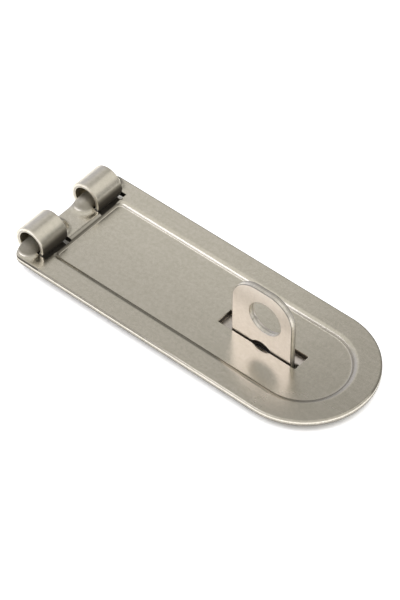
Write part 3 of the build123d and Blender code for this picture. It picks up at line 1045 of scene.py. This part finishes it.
class HASP_OT_staple(Operator):
    """Staple plate with its folded eye, shackle hole and four screw holes"""

    bl_idname = "hasp.staple"
    bl_label = "Staple Plate"

    def execute(self, context):
        size, finish = context.scene.hasp_staple, context.scene.hasp_finish
        outer, middle = size.fold_inner + size.sheet, size.fold_inner + size.sheet / 2
        fold_y = -size.eye_front + outer
        outline, out, hole, ray = eye_blank(size, outer - middle * math.pi / 2)
        roll, small, thick = size.edge_roll, PLATE_ROUNDING, size.sheet
        front = between(ring(hole + ray * roll, 0.0), ring(outline - out * roll, 0.0), 34)
        back = between(ring(outline - out * small, thick), ring(hole + ray * small, thick), 34)
        sections = [
            (front, PLATED),
            (rounded_edge(outline, -out * roll, 0.0, roll, 8), SHEARED),
            (between(ring(outline, roll), ring(outline, thick - small), 5), SHEARED),
            (rounded_edge(outline, -out * small, thick, -small, 4, to_flat=True), PLATED),
            (back, PLATED),
            (rounded_edge(hole, ray * small, thick, -small, 4), PLATED),
            (between(ring(hole, thick - small), ring(hole, roll), 5), SHEARED),
            (rounded_edge(hole, ray * roll, 0.0, roll, 8, to_flat=True), PLATED),
        ]
        vertices, faces, kinds = closed_band(*loops_and_kinds(sections))
        # The blank is folded: x stays, the height runs down into a quarter turn at the foot
        x, up, deep = vertices.T
        lean = np.clip((outer - up) / middle, 0.0, math.pi / 2)
        y = np.where(up > outer, -size.eye_front + deep, fold_y - (outer - deep) * np.cos(lean))
        z = np.where(up > outer, up, outer - (outer - deep) * np.sin(lean))
        folded = np.stack([x + size.middle_x, y, z], 1)
        if signed_volume(folded, faces) < 0:
            faces = faces[:, ::-1]
        eye = to_mesh("eye", folded, faces, kinds)
        # Plate: a rectangle with rounded corners and a notch where the eye came from
        far_x, far_y = size.plate_length / 2, size.plate_width / 2
        corner, wide, gap = size.plate_corner, size.eye_half, size.eye_half + size.root_gap
        arcs = [
            np.array([sx * (far_x - corner), sy * (far_y - corner)])
            + corner * rays(start, start + 90, 10)
            for sx, sy, start in ((1, -1, -90), (1, 1, 0), (-1, 1, 90), (-1, -1, 180))
        ]
        notch = [(-gap, -far_y), (-gap, fold_y), (-wide, fold_y)]
        notch += [(-x, y) for x, y in notch[::-1]]
        outline = np.concatenate(arcs + [np.array(notch)]) + np.array([size.middle_x, 0.0])
        plate = flat_plate("staple_plate_folded", outline, 0.0, thick, PLATE_ROUNDING)
        # The relief hole was punched across the fold line, so it bites into the plate as well
        lean = math.asin((outer - size.relief_height) / middle)
        bite_y = fold_y - middle * (math.pi / 2 - lean)
        ends = (-4 * MM, 4 * MM)
        through_plate = [(end, size.relief_radius) for end in ends]
        bite_at = np.array([size.middle_x, bite_y, 0.0])
        bite = turned("relief_in_plate", bite_at, "Z", through_plate, 96)
        cut_away(plate, screw_holes(size, size.middle_x, thick) + [bite])
        through_eye_foot = [(end, size.relief_radius) for end in (-12 * MM, fold_y - 0.01 * MM)]
        relief_at = np.array([size.middle_x, 0.0, size.relief_height])
        cut_away(eye, [turned("relief", relief_at, "Y", through_eye_foot, 96)])
        merge_into(plate, [eye])
        front_mm, thick_mm = size.eye_front / MM, thick / MM

        def through_eye(make, axes):
            return (axes[1] + front_mm) / thick_mm

        lines = (2600.0, 300.0, 2600.0)
        colours = (finish.eye_plate, finish.eye_dark)
        grain = (1100.0, 1100.0, 60.0)
        materials = [
            plated_steel("satin_plated_staple", finish, 23.0, grain, colours, matt=0.10),
            sheared_steel("sheared_staple_edge", finish, lines, through_eye, torn_darkness=0.5),
        ]
        finished(plate, materials, "base", "staple_plate")
        return {"FINISHED"}


class HASP_OT_stage(Operator):
    """White floor, soft studio light all round and the camera"""

    bl_idname = "hasp.stage"
    bl_label = "Stage"

    def execute(self, context):
        scene, stage = context.scene, context.scene.hasp_stage
        self.lay_floor(scene)
        self.light_studio(scene)
        self.set_camera(scene, stage)
        scene.view_settings.view_transform = "Standard"
        return {"FINISHED"}

    def lay_floor(self, scene):
        """Pale paper whose own glow fades out where the hasp stands over it, so that gaps stay
        dark, and a painted shadow: a soft dark spot under the relief hole."""
        mesh = bpy.data.meshes.new("floor")
        corners = [(sx * FLOOR_HALF, sy * FLOOR_HALF, 0) for sx, sy in FLOOR_CORNERS]
        mesh.from_pydata(corners, [], [(0, 1, 2, 3)])
        floor = bpy.data.objects.new("floor", mesh)
        scene.collection.objects.link(floor)
        material, make = new_material("white_paper")
        x, y, _ = make.axes(make.node("ShaderNodeTexCoord", {}, {}, output="Object"))
        openness = make.node(
            "ShaderNodeAmbientOcclusion", {"samples": 16}, {"Distance": 12 * MM}, output="AO"
        )
        open_floor = make.smooth(openness, 0.15, 0.6)
        # Painted shadow: a soft dark spot on the paper under the relief hole
        staple = scene.hasp_staple
        past_relief = x - staple.middle_x
        from_relief = (past_relief * past_relief + y * y) ** 0.5
        spot = staple.relief_radius
        shade = make.smooth(from_relief, spot + 0.3 * MM, spot + 1.1 * MM, 1.0, 0.0)
        shade = shade * make.smooth(y, -2.2 * MM, -1.2 * MM)
        seen = make.light_path("Is Camera Ray") + make.light_path("Is Glossy Ray")
        glow = seen * open_floor * (1.0 - shade)
        paper = make.node(
            "ShaderNodeBsdfPrincipled",
            {},
            {
                "Base Color": make.mix(shade, rgba(PAPER), rgba(SHADE)),
                "Roughness": 0.9,
                "Emission Color": make.mix(glow, rgba(BLACK), rgba(WHITE)),
                "Emission Strength": 0.75,
            },
        )
        make.node("ShaderNodeOutputMaterial", {}, {"Surface": paper})
        mesh.materials.append(material)

    def light_studio(self, scene):
        """Even light from all round, with lighter and darker cards that the steel reflects."""
        world = bpy.data.worlds.new("studio")
        scene.world = world
        world.use_nodes = True
        make = Shader(world.node_tree)
        around = make.node("ShaderNodeTexCoord", {}, {}, output="Generated")

        def card(direction, low, high):
            """1 in a direction of the studio, fading out to 0 round it."""
            return make.smooth(make.along(around, direction), low, high)

        # A long narrow soft box in front on the left, seen in the eye and in the panel's lip
        across_box = make.along(around, (0.0, 0.814, 0.581)).absolute()
        soft_box = make.smooth(across_box, 0.07, 0.2, 1.0, 0.0)
        soft_box = soft_box * card((-0.44, -0.52, 0.73), 0.89, 0.97)
        window = card((-0.93, 0.30, 0.20), 0.70, 0.97)
        tone = STUDIO_LEVEL + soft_box * SOFT_BOX_LEVEL + window * WINDOW_LEVEL
        for direction, low, high, level in STUDIO_CARDS:
            tone = tone + card(direction, low, high) * level
        to_camera = make.light_path("Is Camera Ray")
        strength = tone.at_least(DARKEST) * (1.0 - to_camera) + to_camera * BACKDROP_LEVEL
        tint = make.mix(soft_box.at_least(window), rgba(WARM_LIGHT), rgba(COOL_LIGHT))
        air = make.node("ShaderNodeBackground", {}, {"Color": tint, "Strength": strength})
        make.node("ShaderNodeOutputWorld", {}, {"Surface": air})

    def set_camera(self, scene, stage):
        """A long lens that looks at a point on the cover from an azimuth and an elevation."""
        azimuth, elevation = math.radians(stage.azimuth), math.radians(stage.elevation)
        level = math.cos(elevation)
        back = Vector((math.sin(azimuth) * level, -math.cos(azimuth) * level, math.sin(elevation)))
        right = Vector((math.cos(azimuth), math.sin(azimuth), 0.0))
        up = back.cross(right)
        roll = math.radians(stage.roll)
        across = right * math.cos(roll) + up * math.sin(roll)
        upright = up * math.cos(roll) - right * math.sin(roll)
        lens = bpy.data.cameras.new("camera")
        lens.lens, lens.sensor_width = stage.lens, 36.0
        lens.shift_x, lens.shift_y = CAMERA_SHIFT
        lens.clip_start, lens.clip_end = 0.01, 20.0
        camera = bpy.data.objects.new("camera", lens)
        scene.collection.objects.link(camera)
        turn = Matrix((across, upright, back)).transposed().to_4x4()
        aim = Vector(CAMERA_AIM)
        camera.matrix_world = Matrix.Translation(aim + back * stage.distance) @ turn
        scene.camera = camera


class HASP_PT_panel(Panel):
    """Buttons and settings of the hasp in the sidebar"""

    bl_idname = "HASP_PT_panel"
    bl_label = "Cover Hasp"
    bl_space_type = "VIEW_3D"
    bl_region_type = "UI"
    bl_category = "Hasp"

    def draw(self, context):
        column = self.layout.column()
        for operator in (HASP_OT_cover, HASP_OT_base, HASP_OT_staple, HASP_OT_stage):
            column.operator(operator.bl_idname)
        for group in SETTINGS:
            column.separator()
            column.label(text=group[len("hasp_") :].capitalize())
            settings = getattr(context.scene, group)
            for key in settings.__annotations__:
                column.prop(settings, key)


SETTINGS = {
    "hasp_hinge": HaspHinge,
    "hasp_cover": HaspCover,
    "hasp_base": HaspBase,
    "hasp_staple": HaspStaple,
    "hasp_finish": HaspFinish,
    "hasp_stage": HaspStage,
}
CLASSES = (
    *SETTINGS.values(),
    HASP_OT_cover,
    HASP_OT_base,
    HASP_OT_staple,
    HASP_OT_stage,
    HASP_PT_panel,
)


def register():
    for entry in CLASSES:
        bpy.utils.register_class(entry)
    for name, group in SETTINGS.items():
        setattr(bpy.types.Scene, name, PointerProperty(type=group))


def unregister():
    for name in SETTINGS:
        delattr(bpy.types.Scene, name)
    for entry in reversed(CLASSES):
        bpy.utils.unregister_class(entry)


def main():
    register()
    bpy.ops.hasp.cover()
    bpy.ops.hasp.base()
    bpy.ops.hasp.staple()
    bpy.ops.hasp.stage()


if __name__ == "__main__":
    main()
